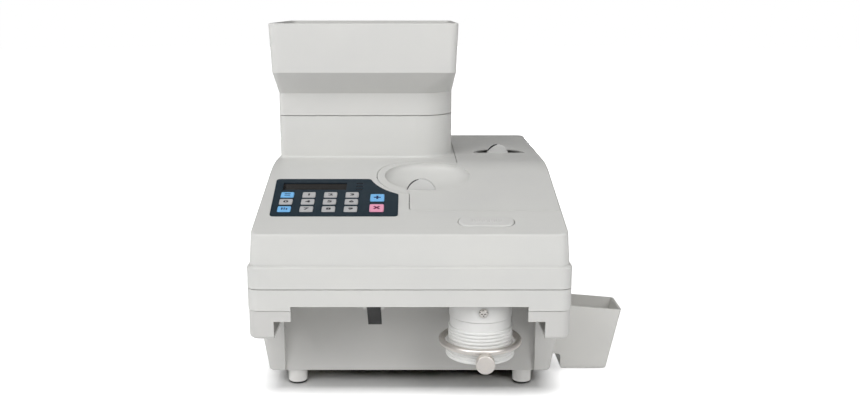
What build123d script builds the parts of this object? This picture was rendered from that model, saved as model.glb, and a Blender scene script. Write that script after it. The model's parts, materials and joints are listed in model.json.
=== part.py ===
from build123d import *
import math
import os

# Coin counting machine, free standing, in millimetres.
# Working axes: X to the right, Y from the front band to the back, Z up, Z = 0 on the table.
# X = 0 is the middle of the housing and Y = 0 the face of its front bands.
# save() moves every part so that the row origin is the middle of the bounding box, on the table.

# ---- housing ----
BAND_W, BAND_D, BAND_R = 320.0, 400.0, 12.0
WALL = 3.0
SEAM = 0.8              # open line between two shells
BOTTOM_Z = 17.0         # underside of the base tub
FLARE_Z = 51.0          # the tub is full width above this height
LEG_Z = 84.5            # lower end of the hood's front corners
STEP_Z = 103.0          # step in the hood's cut-out
GROOVE_Z = 114.0        # joint between base shell and middle frame
CUT_Z = 118.6           # upper edge of the cut-out
SEAM_Z = 136.0          # joint between middle frame and top cover
BAND_TOP_Z = 159.0      # upper edge of the shoulder band
TOP_Z = 236.0           # flat rear part of the top
SLOPE = 0.3             # rise of the sloping front part per mm of depth
SLOPE_Z0 = 188.4        # height of that slope at Y = 0
SLOPE_ANGLE = math.atan(SLOPE)
SLOPE_Y0 = 12.0         # s = 0 of the slope's own coordinates
SLOPE_PLANE = Plane(
    origin=(0, SLOPE_Y0, SLOPE_Z0 + SLOPE * SLOPE_Y0),
    x_dir=(1, 0, 0),
    z_dir=(0, -math.sin(SLOPE_ANGLE), math.cos(SLOPE_ANGLE)),
)
KNEE_RUN = 22.0         # tangent length of the bend between slope and flat
EDGE_R = 2.6            # rounding of the cover's top edges
HOOD_EDGE_R = 4.0       # rounding under the hood's front corners
TUB_Y = 88.0            # front of the base tub, set back under the hood
RECESS_STEP = 2.0       # the front panel's foot stands back this far between the tub's corners
RECESS_LEAN = 24.0      # the front panel leans back by this much up to the groove
RECESS_HALF = 136.0
BASE_HALF = BAND_W / 2 - 0.7
BASE_Y0, BASE_Y1 = 0.8, BAND_D - 0.8
CUT_HALF, CUT_HALF_LOW = 117.0, 134.0   # half widths of the cut-out above and below its step
FLOOR_Z, FLOOR_T = 119.0, 3.0           # mounting floor inside the middle frame

# ---- hopper and neck ----
NECK_X0, NECK_X1, NECK_Y0, NECK_Y1 = -149.5, 49.2, 192.5, 361.0
NECK_R = (7.0, 42.0, 42.0, 10.0)        # front left, front right, rear right, rear left
NECK_SEAM_Z = 284.7
FLARE_LOW_Z, FLARE_HIGH_Z = 310.3, 335.4
BIN_X0, BIN_X1, BIN_Y0, BIN_Y1 = -155.0, 53.5, 160.5, 364.5
BIN_R = (9.0, 9.0, 9.0, 9.0)
BIN_TOP_Z = 389.0
HOPPER_WALL = 3.0

# ---- coin path lid, with its finger dish and rear scoop ----
LID_X0, LID_Y0, LID_Y1, LID_REAR_X0 = 0.0, 53.0, 345.0, 53.2
LID_SKIRT = 14.0        # how far the lid wraps down over the right-hand side
LID_GAP = 0.7
DISH_X, DISH_Y, DISH_A, DISH_B, DISH_DEPTH = 19.2, 128.0, 46.2, 35.0, 15.0
DISH_MARGIN = 8.3       # lid surface left outside the dish
DISH_TILT = math.degrees(SLOPE_ANGLE) * 0.8
BOWL_WALL = 2.5
SCOOP_X, SCOOP_Y, SCOOP_A, SCOOP_B, SCOOP_DEPTH = 106.6, 232.0, 30.8, 60.0, 1.0
SLIT_REACH, SLIT_LEAN = 30.0, 60.0      # the slit's depth in Y, and how far it leans back
HINGE_X, HINGE_Z, HINGE_PIN_R, KNUCKLE_R = 154.6, 221.2, 1.5, 3.2
KNUCKLE_GAP = 0.4
LID_KNUCKLES = ((222.0, 246.0), (304.0, 328.0))     # spans of Y on the hinge line
COVER_KNUCKLES = ((246.4, 303.6),)

# ---- dials: discs standing upright, turning about axles along Y ----
DIAL_R, DIAL_T, DIAL_X, DIAL_Y, DIAL_Z = 16.0, 7.0, 12.3, 101.0, 212.4
REAR_DIAL_R, REAR_DIAL_T, REAR_DIAL_X, REAR_DIAL_Y, REAR_DIAL_Z = 13.0, 6.5, 106.3, 254.0, 230.6
DIAL_AXLE_R = 2.0
DIAL_GAP = 1.2          # open space round each dial in the lid
INDEX_X, INDEX_Y, INDEX_R = -1.0, 182.0, 1.0        # small round index hole behind the dish
RUN = 0.05              # radial clearance of a running fit

# ---- keypad, in the plane of the slope: x across, s up the slope ----
KEY_W, KEY_H, KEY_PROUD = 13.6, 11.0, 0.9
KEY_X = (-127.7, -105.1, -82.6, -60.1)
KEY_S = (74.6, 59.4, 43.8)
SIDE_KEY_X, SIDE_KEY_W, SIDE_KEY_H = -33.6, 14.6, 15.2
SIDE_KEY_S = (68.2, 46.1)
PANEL_T, PANEL_PROUD = 1.5, 0.4
WINDOW_X0, WINDOW_X1, WINDOW_S0, WINDOW_S1 = -134.6, -67.0, 86.8, 103.2
LED_X, LED_W, LED_H = -53.4, 7.2, 2.4
LED_S = (88.0, 94.6, 101.2)

BOARD_TOP, BOARD_T = -10.0, 1.6
BOARD_POSTS = ((-140.0, 31.0), (-12.5, 33.0), (-140.0, 111.0), (-47.0, 108.0))

# ---- release tab ----
TAB_X, TAB_S, TAB_L, TAB_H = 76.3, 18.6, 57.0, 21.0
TAB_GAP, TAB_PROUD = 0.6, 1.4

# ---- outlet nozzle ----
NOZZLE_X, NOZZLE_Y = 73.0, 45.0
COLLAR_R, NOZZLE_R, BORE_R, FLANGE_R = 32.3, 31.6, 27.5, 35.6
NOZZLE_SEAM_Z, NOZZLE_END_Z = 97.0, 54.0
RIB_R, RIB_PITCH = 33.2, 3.6
RING_Z, RING_R, RING_WIRE_R = 69.5, 39.7, 3.3
KNOB_X, KNOB_Z, KNOB_R, KNOB_FACE_Y = 75.0, 60.8, 9.6, -8.0
COLLAR_SCREW_X, COLLAR_SCREW_Z = 73.6, 108.0

# ---- coin mechanism ----
DISC_X, DISC_Y, DISC_R, DISC_Z, DISC_T = -51.1, 280.0, 76.0, 198.0, 6.0
FUNNEL_R = 70.0
DECK_Z, DECK_T = 190.0, 2.0
DECK_POSTS = ((-140.0, 90.0), (30.0, 90.0), (-140.0, 375.0), (110.0, 375.0))
MOTOR_X, MOTOR_Y, MOTOR_R = 52.0, 318.0, 27.0
PULLEY_Z, PULLEY_T, DISC_PULLEY_R, MOTOR_PULLEY_R = 176.0, 9.0, 36.0, 12.0
RAIL_X0, RAIL_X1, RAIL_Y0, RAIL_Y1, RAIL_TOP_Z = 54.0, 88.0, 78.0, 236.0, 194.5
ROLLER_R, ROLLER_Z, ROLLER_Y = 6.0, 204.0, (97.0, 215.0)
ROLLER_X0, ROLLER_X1, PATH_BELT_T = 63.0, 83.0, 1.0
CHUTE_LEAN = 54.0       # fall of the reject chute below the horizontal
CHUTE_Y, CHUTE_WIDTH, CHUTE_HEIGHT, CHUTE_WALL = 148.0, 40.0, 22.0, 2.0

# ---- rear panel ----
INLET_X, SWITCH_X, REAR_PANEL_Z = -114.0, -78.0, 78.0
ROCKER_Y, ROCKER_PIN_R = 396.0, 1.2
COVER_SCREW_X, COVER_SCREW_Z = (-130.0, 130.0), 172.0
VENT_X, VENT_Z, VENT_W, VENT_H, VENT_PITCH, VENT_COUNT = -40.0, 186.0, 3.0, 30.0, 10.0, 9

# ---- control board on its four bosses ----
CONTROL_BOARD_Z, CONTROL_BOARD_T = 26.0, 1.6
BOSS_X, BOSS_Y = (-24.0, 104.0), (276.0, 364.0)
CHIPS = (               # x, y, width, depth
    (0.0, 300.0, 30.0, 16.0),
    (50.0, 300.0, 18.0, 18.0),
    (20.0, 345.0, 24.0, 12.0),
    (85.0, 340.0, 14.0, 30.0),
)
CHIP_H = 4.0

# ---- lever under the hood ----
LEVER_X0, LEVER_X1, LEVER_Y, LEVER_Z, LEVER_LENGTH, LEVER_FALL = -43.0, -29.0, 21.0, 114.5, 44.0, 44.0

# ---- reject tray on the right-hand side ----
TRAY_Y0, TRAY_Y1, TRAY_WALL = 124.0, 172.0, 2.4
TRAY_OUTLINE = ((162.0, 81.3), (237.0, 75.0), (222.0, 5.0), (170.0, 5.0), (170.0, 23.6), (162.0, 23.6))
STUD_Y, STUD_Z, STUD_R, STUD_HEAD_R = (134.0, 162.0), 42.0, 2.5, 4.5

# ---- feet and row origin ----
FOOT_X, FOOT_Y, FOOT_R, FOOT_END_R = 124.0, (103.0, 372.0), 10.6, 10.0
SCREW_R = 2.0
REAR_Y = BAND_D + 1.6   # rearmost face, the power inlet's flange
ORIGIN_X = (TRAY_OUTLINE[1][0] - BAND_W / 2) / 2
ORIGIN_Y = (KNOB_FACE_Y + REAR_Y) / 2


# ---------------------------------------------------------------- helpers
def box(x0, x1, y0, y1, z0, z1):
    centre = Pos((x0 + x1) / 2, (y0 + y1) / 2, (z0 + z1) / 2)
    return centre * Box(x1 - x0, y1 - y0, z1 - z0)


def box_at(x, y, z, w, d, h):
    return Pos(x, y, z) * Box(w, d, h)


def rod_z(x, y, z0, z1, r):
    return Pos(x, y, (z0 + z1) / 2) * Cylinder(r, z1 - z0)


def rod_y(x, y0, y1, z, r):
    return Pos(x, (y0 + y1) / 2, z) * Rot(90, 0, 0) * Cylinder(r, y1 - y0)


def rod_x(x0, x1, y, z, r):
    return Pos((x0 + x1) / 2, y, z) * Rot(0, 90, 0) * Cylinder(r, x1 - x0)


def plan(x0, x1, y0, y1, z, radii):
    """Level rectangle; radii in the order front left, front right, rear right, rear left."""
    corners = ((x0, y0, z), (x1, y0, z), (x1, y1, z), (x0, y1, z))
    return make_face(FilletPolyline(*corners, radius=list(radii), close=True))


def plan_block(x0, x1, y0, y1, z0, z1, r):
    return extrude(plan(x0, x1, y0, y1, z0, (r,) * 4), z1 - z0, dir=(0, 0, 1))


def on_slope(x, s, n=0.0):
    """Place on the sloping face: x across, s up the slope, n out of it."""
    return SLOPE_PLANE.location * Pos(x, s, n)


def slope_prism(face, n0, n1):
    """Extrude a face drawn in (x, s) between two heights above the slope."""
    return SLOPE_PLANE.location * Pos(0, 0, n0) * extrude(face, n1 - n0, dir=(0, 0, 1))


def pill(length, height):
    return SlotOverall(length, height)


def save(shape, node):
    placed = Pos(-ORIGIN_X, -ORIGIN_Y, 0) * shape
    export_step(placed, f"parts/{node}.step")


# ---------------------------------------------------------------- housing
def under_top_surface(drop):
    """Everything below the cover's side profile, moved inwards by drop."""
    flat_z = TOP_Z - drop
    line_z = SLOPE_Z0 - drop / math.cos(SLOPE_ANGLE)
    knee_y = (flat_z - line_z) / SLOPE
    run_y = KNEE_RUN * math.cos(SLOPE_ANGLE)
    bend_start = (knee_y - run_y, flat_z - run_y * SLOPE)
    bend_end = (knee_y + KNEE_RUN, flat_z)
    front, back, low = -20.0, BAND_D + 20.0, 100.0
    with BuildSketch(Plane.YZ) as profile:
        with BuildLine():
            Polyline((front, low), (front, line_z + SLOPE * front), bend_start)
            TangentArc(bend_start, bend_end, tangent=(1, SLOPE))
            Polyline(bend_end, (back, flat_z), (back, low), (front, low))
        make_face()
    return extrude(profile.sketch, BAND_W, both=True)


def upper_body(inset, edge_r):
    """The drafted body above the shoulder band, rounded along its top edges."""
    low = plan(-158.2 + inset, 158.2 - inset, 2.8 + inset, 397.2 - inset, 150.0, (11.0 - inset,) * 4)
    high = plan(-152.4 + inset, 152.4 - inset, 10.5 + inset, 392.0 - inset, 245.0, (9.0 - inset,) * 4)
    body = loft([low, high]) & under_top_surface(inset)
    return fillet([e for e in body.edges() if borders_top(e, inset)], edge_r)


def borders_top(edge, inset):
    """True for an edge between the cover's top surface and one of its walls."""
    middle = edge @ 0.5
    slope_z = SLOPE_Z0 - inset / math.cos(SLOPE_ANGLE) + SLOPE * middle.Y
    near_top = min(TOP_Z - inset, slope_z) - middle.Z < 3.5
    return near_top and (abs(middle.X) > 100.0 or middle.Y < 30.0 or middle.Y > 370.0)


def cover_outside():
    band = plan_block(-BAND_W / 2, BAND_W / 2, 0, BAND_D, SEAM_Z + SEAM / 2, BAND_TOP_Z, BAND_R)
    band = chamfer(band.edges().group_by(Axis.Z)[-1], 1.9)
    return band + upper_body(0.0, EDGE_R)


def cover_inside():
    half = BAND_W / 2 - WALL
    low = plan_block(-half, half, WALL, BAND_D - WALL, SEAM_Z - 5, BAND_TOP_Z - WALL, BAND_R - WALL)
    return low + upper_body(WALL, 1.5)


def neck_block(inset, z0, z1):
    radii = [r - inset for r in NECK_R]
    face = plan(NECK_X0 + inset, NECK_X1 - inset, NECK_Y0 + inset, NECK_Y1 - inset, z0, radii)
    return extrude(face, z1 - z0, dir=(0, 0, 1))


def lid_prism(grow):
    """Vertical prism over the lid's outline, grown by a clearance."""
    ellipse = Ellipse(DISH_A + DISH_MARGIN + grow, DISH_B + DISH_MARGIN + grow)
    outline = Pos(DISH_X, DISH_Y) * ellipse
    right = BAND_W / 2 + 10
    front = FilletPolyline(
        (LID_X0 - grow, DISH_Y), (LID_X0 - grow, LID_Y0 - grow), (right, LID_Y0 - grow), (right, DISH_Y),
        radius=[0, 4.0 + grow, 0, 0], close=True,
    )
    rear = FilletPolyline(
        (LID_REAR_X0 - grow, DISH_Y - 20), (right, DISH_Y - 20),
        (right, LID_Y1 + grow), (LID_REAR_X0 - grow, LID_Y1 + grow),
        radius=[0, 0, 0, 4.0 + grow], close=True,
    )
    outline = outline + make_face(front) + make_face(rear)
    return Pos(0, 0, 150) * extrude(outline, 120, dir=(0, 0, 1))


def lid_zone(grow):
    """The space that belongs to the lid: its outline, down to the edge of its skirt."""
    return lid_prism(grow) - under_top_surface(LID_SKIRT + grow)


def bowl(x, y, a, b, depth, tilt):
    """Lower half of an ellipsoid, its rim level with the top surface there."""
    return Pos(x, y, top_height(y)) * Rot(tilt, 0, 0) * scale(Sphere(1.0), by=(a, b, depth))


def top_height(y):
    return min(TOP_Z, SLOPE_Z0 + SLOPE * y)


def hinge_knuckles(spans, r):
    knuckles = [rod_y(HINGE_X, y0, y1, HINGE_Z, r) for y0, y1 in spans]
    return Part() + knuckles


def dial_slot(x, y, z, r, t):
    return rod_y(x, y - t / 2 - DIAL_GAP, y + t / 2 + DIAL_GAP, z, r + DIAL_GAP)


def panel_face(inset):
    """Keypad panel outline in slope coordinates, hollowed round the dish's rim."""
    left0, left1, right = -140.9 + inset, -143.4 + inset, -11.8 - inset
    low, high, notch_x, notch_s = 29.8 + inset, 112.0 - inset, -41.9 - inset, 77.5 - inset
    with BuildSketch() as panel:
        with BuildLine():
            Polyline((right, notch_s), (right, low), (left0, low), (left1, high), (notch_x, high))
            ThreePointArc((notch_x, high), (-30.6 - inset, 92.0 - inset), (right, notch_s))
        make_face()
        fillet(panel.vertices(), 4.0)
    return panel.sketch


def key_places():
    """Every key: name, x, s, width, height."""
    names = (("key_mode", "key_1", "key_2", "key_3"), ("key_0", "key_4", "key_5", "key_6"),
             ("key_batch", "key_7", "key_8", "key_9"))
    for row, s in zip(names, KEY_S):
        for name, x in zip(row, KEY_X):
            yield name, x, s, KEY_W, KEY_H
    for name, s in zip(("key_add", "key_clear"), SIDE_KEY_S):
        yield name, SIDE_KEY_X, s, SIDE_KEY_W, SIDE_KEY_H


def keypad_well():
    """Hole through the cover's slope behind the keypad panel."""
    well = slope_prism(panel_face(5.0), -12.0, 2.0)
    return well + slope_prism(panel_face(-0.2), PANEL_PROUD - PANEL_T, 2.0)


def tab_hole(grow, n0, n1):
    return slope_prism(Pos(TAB_X, TAB_S) * pill(TAB_L + 2 * grow, TAB_H + 2 * grow), n0, n1)


def top_cover():
    shell = cover_outside() + neck_block(0.0, TOP_Z - 8.0, NECK_SEAM_Z - SEAM / 2)
    shell = fillet(neck_foot_edges(shell), 3.0)
    shell -= cover_inside()
    shell -= neck_block(HOPPER_WALL, TOP_Z - 20.0, NECK_SEAM_Z + 5)
    shell -= lid_zone(LID_GAP)
    shell -= keypad_well()
    shell -= tab_hole(0.0, -8.0, 4.0)
    shell -= rod_z(INDEX_X, INDEX_Y, TOP_Z - 8.0, TOP_Z + 4.0, INDEX_R)
    for x in COVER_SCREW_X:
        shell -= rod_y(x, 380.0, 402.0, COVER_SCREW_Z, SCREW_R)
    for i in range(VENT_COUNT):
        shell -= box_at(VENT_X + i * VENT_PITCH, BAND_D, VENT_Z, VENT_W, 40.0, VENT_H)
    for x, s in BOARD_POSTS:
        shell += on_slope(x, s, (BOARD_TOP - WALL + 0.5) / 2) * Cylinder(3.0, -BOARD_TOP - WALL + 0.5)
    shell -= hinge_knuckles(LID_KNUCKLES, KNUCKLE_R + KNUCKLE_GAP)
    (knuckle_y0, knuckle_y1), = COVER_KNUCKLES
    shell += hinge_knuckles(COVER_KNUCKLES, KNUCKLE_R)
    shell += box(HINGE_X - 4.0, HINGE_X, knuckle_y0, knuckle_y1, HINGE_Z - 4.7, HINGE_Z - 1.7)
    return shell - rod_y(HINGE_X, 200.0, 350.0, HINGE_Z, HINGE_PIN_R)


def neck_foot_edges(shell):
    """Edges where the neck stands on the flat top."""
    edges = shell.edges().filter_by_position(Axis.Z, TOP_Z - 0.05, TOP_Z + 0.05)
    inside = [e for e in edges if NECK_X0 - 0.1 < (e @ 0.5).X < NECK_X1 + 0.1]
    return [e for e in inside if NECK_Y0 - 0.1 < (e @ 0.5).Y < NECK_Y1 + 0.1]


def path_lid():
    lid = (cover_outside() - cover_inside()) & lid_zone(0.0)
    dish = bowl(DISH_X, DISH_Y, DISH_A + BOWL_WALL, DISH_B + BOWL_WALL, DISH_DEPTH + BOWL_WALL, DISH_TILT)
    lid += dish & under_top_surface(0.5) & lid_prism(0.0)
    lid -= bowl(DISH_X, DISH_Y, DISH_A, DISH_B, DISH_DEPTH, DISH_TILT)
    lid -= rear_scoop() + dial_slit()
    lid -= dial_slot(DIAL_X, DIAL_Y, DIAL_Z, DIAL_R, DIAL_T)
    lid -= dial_slot(REAR_DIAL_X, REAR_DIAL_Y, REAR_DIAL_Z, REAR_DIAL_R, REAR_DIAL_T)
    lid -= hinge_knuckles(COVER_KNUCKLES, KNUCKLE_R + KNUCKLE_GAP)
    lid += hinge_knuckles(LID_KNUCKLES, KNUCKLE_R)
    lid += dial_bearings()
    lid -= dial_axles()
    return lid - rod_y(HINGE_X, 200.0, 350.0, HINGE_Z, HINGE_PIN_R + RUN)


def rear_scoop():
    """Shallow hollow that starts with a step at the slit's front edge and fades out behind it."""
    hollow = bowl(SCOOP_X, SCOOP_Y, SCOOP_A, SCOOP_B, SCOOP_DEPTH, 0)
    return hollow & box(SCOOP_X - 40, SCOOP_X + 40, SCOOP_Y, SCOOP_Y + SCOOP_B + 5, TOP_Z - 5, TOP_Z + 5)


def dial_slit():
    """Lens-shaped opening in which the rear dial stands, leaning back as it goes down."""
    left, right = (SCOOP_X - SCOOP_A, SCOOP_Y), (SCOOP_X + SCOOP_A, SCOOP_Y)
    with BuildSketch() as lens:
        with BuildLine():
            Line(left, right)
            ThreePointArc(right, (SCOOP_X, SCOOP_Y + SLIT_REACH), left)
        make_face()
    lean = math.radians(SLIT_LEAN)
    return extrude(Pos(0, 0, TOP_Z) * lens.sketch, 8.0, dir=(0, math.sin(lean), -math.cos(lean)))


def dial_bearings():
    """Two lugs under the lid for the front dial's axle, and two hanging straps for the rear one's."""
    lugs = []
    for side in (-1, 1):
        y = DIAL_Y + side * (DIAL_T / 2 + 3.2)
        lugs.append(box(DIAL_X - 4.5, DIAL_X + 4.5, y - 1.5, y + 1.5, DIAL_Z - 4.5, top_height(y) - 1.0))
    lugs = Part() + lugs
    lugs -= bowl(DISH_X, DISH_Y, DISH_A, DISH_B, DISH_DEPTH, DISH_TILT)
    for side in (-1, 1):
        lugs += hanging_strap(REAR_DIAL_Y + side * (REAR_DIAL_T / 2 + 3.2))
    return lugs


def hanging_strap(y):
    """Cross bar below the slit, hung from the lid at both ends, with an eye for the axle."""
    reach, low = SCOOP_A - 0.8, REAR_DIAL_Z - 4.5
    strap = box(REAR_DIAL_X - reach, REAR_DIAL_X + reach, y - 1.5, y + 1.5, low, low + 3.5)
    strap += box(REAR_DIAL_X - 4.5, REAR_DIAL_X + 4.5, y - 1.5, y + 1.5, low, REAR_DIAL_Z + 2.9)
    for x in (REAR_DIAL_X - reach + 2.0, REAR_DIAL_X + reach - 2.0):
        strap += box(x - 2.0, x + 2.0, y - 1.5, y + 1.5, low, TOP_Z - WALL + 0.5)
    return strap


def inset_block(half, y0, y1, z0, z1, r):
    return plan_block(-half, half, y0, y1, z0, z1, r)


def tub(inset):
    """The set-back lower body, drawn in towards its underside."""
    radii = (7.0 - inset,) * 4
    front, back = TUB_Y + inset, BASE_Y1 - inset
    low_half, half = 153.6 - inset, BASE_HALF - inset
    low = plan(-low_half, low_half, front, back - 6.0, BOTTOM_Z + inset, radii)
    high = plan(-half, half, front, back, FLARE_Z, radii)
    return loft([low, high]) + inset_block(half, front, back, FLARE_Z, GROOVE_Z - 0.3 + inset, 7.0 - inset)


def recess_block(grow):
    """The space in front of the leaning front panel, between the tub's corners."""
    front, low, high = TUB_Y - 5.0, BOTTOM_Z - 5.0, GROOVE_Z + 5.0
    foot = TUB_Y + RECESS_STEP + grow
    head = foot + RECESS_LEAN
    with BuildSketch(Plane.YZ) as side:
        with BuildLine():
            Polyline((front, low), (foot, low), (head, high), (front, high), (front, low))
        make_face()
    return extrude(side.sketch, RECESS_HALF + grow, both=True)


def base_shell():
    top = GROOVE_Z - 0.3
    hood = inset_block(BASE_HALF, BASE_Y0, BASE_Y1, LEG_Z, top, 11.0)
    hood = fillet(hood.faces().sort_by(Axis.Z)[0].edges(), HOOD_EDGE_R)
    hollow = inset_block(BASE_HALF - WALL, BASE_Y0 + WALL, TUB_Y, LEG_Z + WALL, top + WALL, 4.0)
    under = box(-CUT_HALF_LOW, CUT_HALF_LOW, BASE_Y0 + WALL, TUB_Y, LEG_Z - 5, top + WALL)
    tub_outside = tub(0.0)
    tub_outside = fillet(tub_outside.faces().sort_by(Axis.Z)[0].edges(), 3.0)
    shell = hood - hollow - under + tub_outside - recess_block(0.0)
    shell -= tub(WALL) - recess_block(WALL)
    shell -= box(-CUT_HALF, CUT_HALF, -1, WALL + 2, LEG_Z - 5, top + 5)
    shell -= box(-CUT_HALF_LOW, CUT_HALF_LOW, -1, WALL + 2, LEG_Z - 5, STEP_Z)
    shell -= box(BASE_HALF - 2 * WALL, BASE_HALF + 5, 131, 165, 57, 90)
    shell -= box_at(INLET_X, BAND_D, REAR_PANEL_Z, 24.4, 20.0, 20.4)
    shell -= box_at(SWITCH_X, BAND_D, REAR_PANEL_Z, 15.4, 20.0, 22.4)
    for x, y in foot_places():
        shell -= rod_z(x, y, BOTTOM_Z - 1, BOTTOM_Z + WALL + 1, SCREW_R)
    return shell + [rod_z(x, y, BOTTOM_Z + WALL - 1, CONTROL_BOARD_Z, 3.0) for x in BOSS_X for y in BOSS_Y]


def middle_frame():
    low, high = GROOVE_Z + 0.3, SEAM_Z - SEAM / 2
    half = BAND_W / 2
    ring = inset_block(half, 0, BAND_D, low, high, BAND_R)
    ring -= inset_block(half - WALL, WALL, BAND_D - WALL, low - 1, high + 1, 9.0)
    ring -= box(-CUT_HALF, CUT_HALF, -1, WALL + 1, low - 1, CUT_Z)
    tongue = inset_block(half - 3.4, 3.4, BAND_D - 3.4, FLOOR_Z, high + 5.0, 8.6)
    tongue -= inset_block(half - 5.4, 5.4, BAND_D - 5.4, FLOOR_Z - 1, high + 6.0, 6.6)
    floor = inset_block(half - WALL, WALL, BAND_D - WALL, FLOOR_Z, FLOOR_Z + FLOOR_T, 9.0)
    frame = ring + tongue + floor
    frame -= rod_z(NOZZLE_X, NOZZLE_Y, FLOOR_Z - 1, FLOOR_Z + FLOOR_T + 1, COLLAR_R)
    frame -= box(107.0, 142.0, 126.0, 170.0, FLOOR_Z - 1, FLOOR_Z + FLOOR_T + 1)
    frame -= box(-130.0, -90.0, 340.0, 370.0, FLOOR_Z - 1, FLOOR_Z + FLOOR_T + 1)
    for x in (LEVER_X0 - 3.3, LEVER_X1 + 0.3):
        frame += box(x, x + 3.0, LEVER_Y - 4, LEVER_Y + 4, LEVER_Z - 4, FLOOR_Z + 1)
    return frame - rod_x(LEVER_X0 - 5, LEVER_X1 + 5, LEVER_Y, LEVER_Z, 1.5 + RUN)


def hood_lever():
    """Black tongue that hangs back and down from its pins under the hood."""
    width = LEVER_X1 - LEVER_X0
    blade = Pos((LEVER_X0 + LEVER_X1) / 2, LEVER_Y, LEVER_Z) * Rot(-LEVER_FALL, 0, 0)
    blade = blade * Pos(0, LEVER_LENGTH / 2, 0) * Box(width, LEVER_LENGTH, 2.6)
    pins = rod_x(LEVER_X0 - 3.0, LEVER_X1 + 3.0, LEVER_Y, LEVER_Z, 1.5)
    return blade + rod_x(LEVER_X0, LEVER_X1, LEVER_Y, LEVER_Z, 3.2) + pins


# ---------------------------------------------------------------- hopper
def hopper_block(inset, below, above):
    """Neck, flare and bin of the hopper as one solid, moved inwards by inset."""
    neck_radii = [r - inset for r in NECK_R]
    bin_radii = [r - inset for r in BIN_R]
    spread = 2.2            # the bin widens by this much on each side up to its rim
    neck = (NECK_X0 + inset, NECK_X1 - inset, NECK_Y0 + inset, NECK_Y1 - inset)
    rim = (BIN_X0 + inset, BIN_X1 - inset, BIN_Y0 + inset, BIN_Y1 - inset)
    low_bin = (rim[0] + spread, rim[1] - spread, rim[2] + spread, rim[3] - spread)
    start, low = NECK_SEAM_Z + SEAM / 2 - below, FLARE_LOW_Z + inset * 0.4
    high = FLARE_HIGH_Z + inset * 0.4
    block = extrude(plan(*neck, start, neck_radii), low - start, dir=(0, 0, 1))
    block += loft([plan(*neck, low, neck_radii), plan(*low_bin, high, bin_radii)])
    block += loft([plan(*low_bin, high, bin_radii), plan(*rim, BIN_TOP_Z, bin_radii)])
    if above:
        block += extrude(plan(*rim, BIN_TOP_Z, bin_radii), above, dir=(0, 0, 1))
    return block


def hopper():
    outside = hopper_block(0.0, 0.0, 0.0)
    outside = fillet(outside.faces().sort_by(Axis.Z)[-1].edges(), 1.2)
    spigot = neck_block(HOPPER_WALL + 0.4, NECK_SEAM_Z - 8, NECK_SEAM_Z + 6)
    spigot += neck_block(HOPPER_WALL - 0.2, NECK_SEAM_Z + SEAM / 2, NECK_SEAM_Z + 6)
    spigot -= neck_block(HOPPER_WALL + 2.4, NECK_SEAM_Z - 10, NECK_SEAM_Z + 10)
    return outside - hopper_block(HOPPER_WALL, 5.0, 5.0) + spigot


# ---------------------------------------------------------------- keypad
def keypad_panel():
    panel = slope_prism(panel_face(0.0), PANEL_PROUD - PANEL_T, PANEL_PROUD)
    for _, x, s, w, h in key_places():
        panel -= on_slope(x, s) * rounded_plate(w + 0.5, h + 0.5, 1.7, 8.0)
    panel -= slope_box(WINDOW_X0, WINDOW_X1, WINDOW_S0, WINDOW_S1, -5, 5)
    for s in LED_S:
        panel -= on_slope(LED_X, s) * Box(LED_W, LED_H, 8.0)
    return panel


def rounded_plate(w, h, r, t):
    return Pos(0, 0, -t / 2) * extrude(RectangleRounded(w, h, r), t, dir=(0, 0, 1))


def slope_box(x0, x1, s0, s1, n0, n1):
    return SLOPE_PLANE.location * box(x0, x1, s0, s1, n0, n1)


def key_cap(x, s, w, h):
    """A key: cap, retaining flange under the panel, and stem."""
    top, flange_top, flange_low, stem_low = PANEL_PROUD + KEY_PROUD, -1.4, -2.6, -5.0
    cap = extrude(RectangleRounded(w, h, 1.5), top - flange_low, dir=(0, 0, 1))
    cap = fillet(cap.faces().sort_by(Axis.Z)[-1].edges(), 0.6)
    key = Pos(0, 0, flange_low) * cap
    key += box(-w / 2 - 1.1, w / 2 + 1.1, -h / 2 - 1.1, h / 2 + 1.1, flange_low, flange_top)
    key += box(-2.0, 2.0, -2.0, 2.0, stem_low, flange_low)
    return on_slope(x, s) * key


def display_window():
    return slope_box(WINDOW_X0 + 0.2, WINDOW_X1 - 0.2, WINDOW_S0 + 0.2, WINDOW_S1 - 0.2, -1.6, -0.5)


def status_leds():
    bars = [on_slope(LED_X, s, -0.7) * Box(LED_W - 0.2, LED_H - 0.2, 1.8) for s in LED_S]
    return Part() + bars


def key_switch(x, s):
    body = box(-3.0, 3.0, -3.0, 3.0, BOARD_TOP, BOARD_TOP + 3.5)
    body += Pos(0, 0, BOARD_TOP + 3.8) * Cylinder(1.6, 0.6)
    return on_slope(x, s) * body


def keypad_board():
    """Circuit board with a soldered switch under every key and the display behind its window."""
    low = BOARD_TOP - BOARD_T
    board = slope_box(-145.0, -8.0, 26.0, 88.0, low, BOARD_TOP)
    board += slope_box(-145.0, -42.0, 80.0, 116.0, low, BOARD_TOP)
    board += slope_box(WINDOW_X0 + 3, WINDOW_X1 - 3, WINDOW_S0 + 1.5, WINDOW_S1 - 1.5, BOARD_TOP, -3.2)
    return board + [key_switch(x, s) for _, x, s, _, _ in key_places()]


# ---------------------------------------------------------------- release tab and dials
def release_tab():
    cap = slope_prism(Pos(TAB_X, TAB_S) * pill(TAB_L - 2 * TAB_GAP, TAB_H - 2 * TAB_GAP), -5.0, TAB_PROUD)
    cap = fillet(upper_edges(cap, TAB_PROUD), 1.8)
    flange = slope_prism(Pos(TAB_X, TAB_S) * pill(TAB_L + 3.0, TAB_H + 3.0), -4.6, -3.4)
    return cap + flange


def upper_edges(solid, n):
    """Edges of a solid that lie at height n above the slope."""
    origin, normal = SLOPE_PLANE.origin, SLOPE_PLANE.z_dir
    return [e for e in solid.edges() if abs((e @ 0.5 - origin).dot(normal) - n) < 0.01]


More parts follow.
